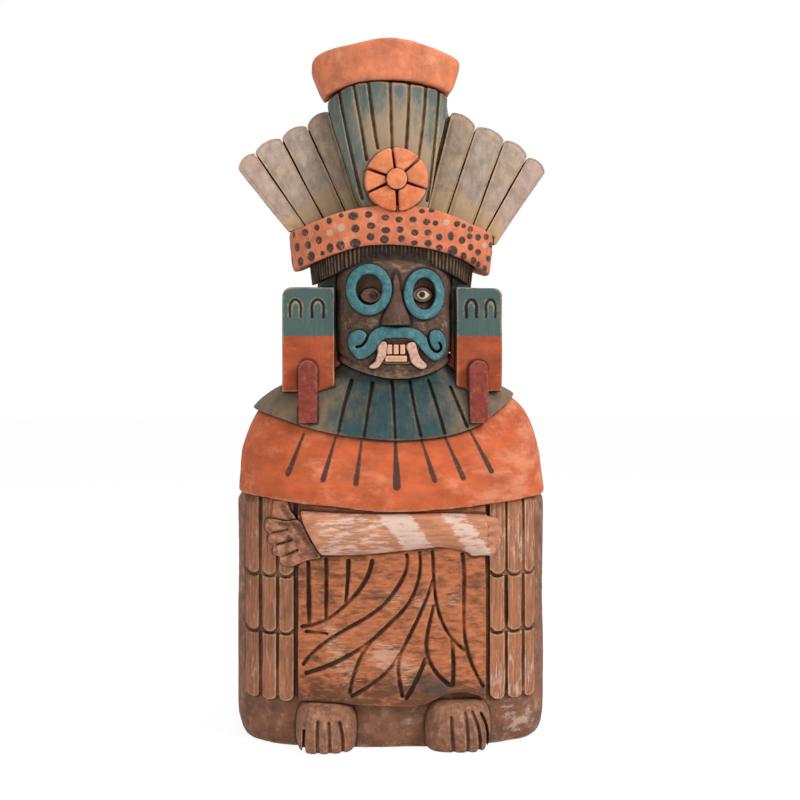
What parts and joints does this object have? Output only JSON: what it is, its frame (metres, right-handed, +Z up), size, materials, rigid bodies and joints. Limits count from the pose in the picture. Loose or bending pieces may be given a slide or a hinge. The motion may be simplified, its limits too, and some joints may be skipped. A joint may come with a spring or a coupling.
{
  "type": "rain god sculpture",
  "caption": "Standing ceramic rain god figure with a feathered headdress, ringed eyes, a curled lip with fangs, a cape and arms crossed over a pleated robe.",
  "frame": {"origin": "middle of the bounding box in X and Y, on the surface that the figure stands on", "axes": "+Z up, the figure faces -Y, +X is to the viewer's right as one faces it"},
  "size_m": [0.1855, 0.1311, 0.4126],
  "materials": {
    "bare_clay": "matt brushed terracotta, dark stain in the hollows",
    "robe_wash": "matt terracotta with worn white slip and a brown wash",
    "wing_wash": "matt brown wash on terracotta",
    "white_slip": "matt white slip, worn through to the clay",
    "orange_paint": "matt orange paint, worn pale at the edges",
    "spotted_band": "matt orange paint with dark painted spots",
    "rosette_paint": "matt orange paint",
    "teal_paint": "matt teal paint, worn to buff at the edges",
    "face_paint": "matt dark brown paint, brushed with buff",
    "hair_paint": "matt dark brown paint",
    "eye_paint": "matt cream and brown paint with a dark pupil",
    "gum_paint": "matt dark brown paint",
    "tooth_paint": "matt pale salmon paint",
    "grey_plume": "matt grey-brown paint with dark stain in the grooves",
    "flare_paint": "matt teal paint above and orange below",
    "red_paint": "matt dark red paint"
  },
  "bodies": {
    "root": {"body_shell": "bare_clay", "neck_post": "bare_clay", "headdress_back": "bare_clay", "foot_left": "bare_clay", "foot_right": "bare_clay", "robe_panel": "robe_wash", "wing_left": "wing_wash", "wing_right": "wing_wash", "front_forearm": "white_slip", "front_hand": "white_slip", "rear_hand": "white_slip", "rear_cuff": "white_slip", "cape": "orange_paint", "crest_cap": "orange_paint", "headband": "spotted_band", "rosette_petals": "rosette_paint", "rosette_button": "rosette_paint", "collar": "teal_paint", "crest_panel": "teal_paint", "moustache_lip": "teal_paint", "goggle_left": "teal_paint", "goggle_right": "teal_paint", "head_shell": "face_paint", "nose": "face_paint", "hair_fringe": "hair_paint", "eye_left": "eye_paint", "eye_right": "eye_paint", "gum_plate": "gum_paint", "upper_teeth": "tooth_paint", "lower_teeth": "tooth_paint", "fang_left": "tooth_paint", "fang_right": "tooth_paint", "feather_left_1": "grey_plume", "feather_left_2": "grey_plume", "feather_left_3": "grey_plume", "feather_left_4": "grey_plume", "feather_right_1": "grey_plume", "feather_right_2": "grey_plume", "feather_right_3": "grey_plume", "feather_right_4": "grey_plume", "ear_flare_left": "flare_paint", "ear_flare_right": "flare_paint", "ear_pendant_left": "red_paint", "ear_pendant_right": "red_paint"}
  },
  "joints": []
}
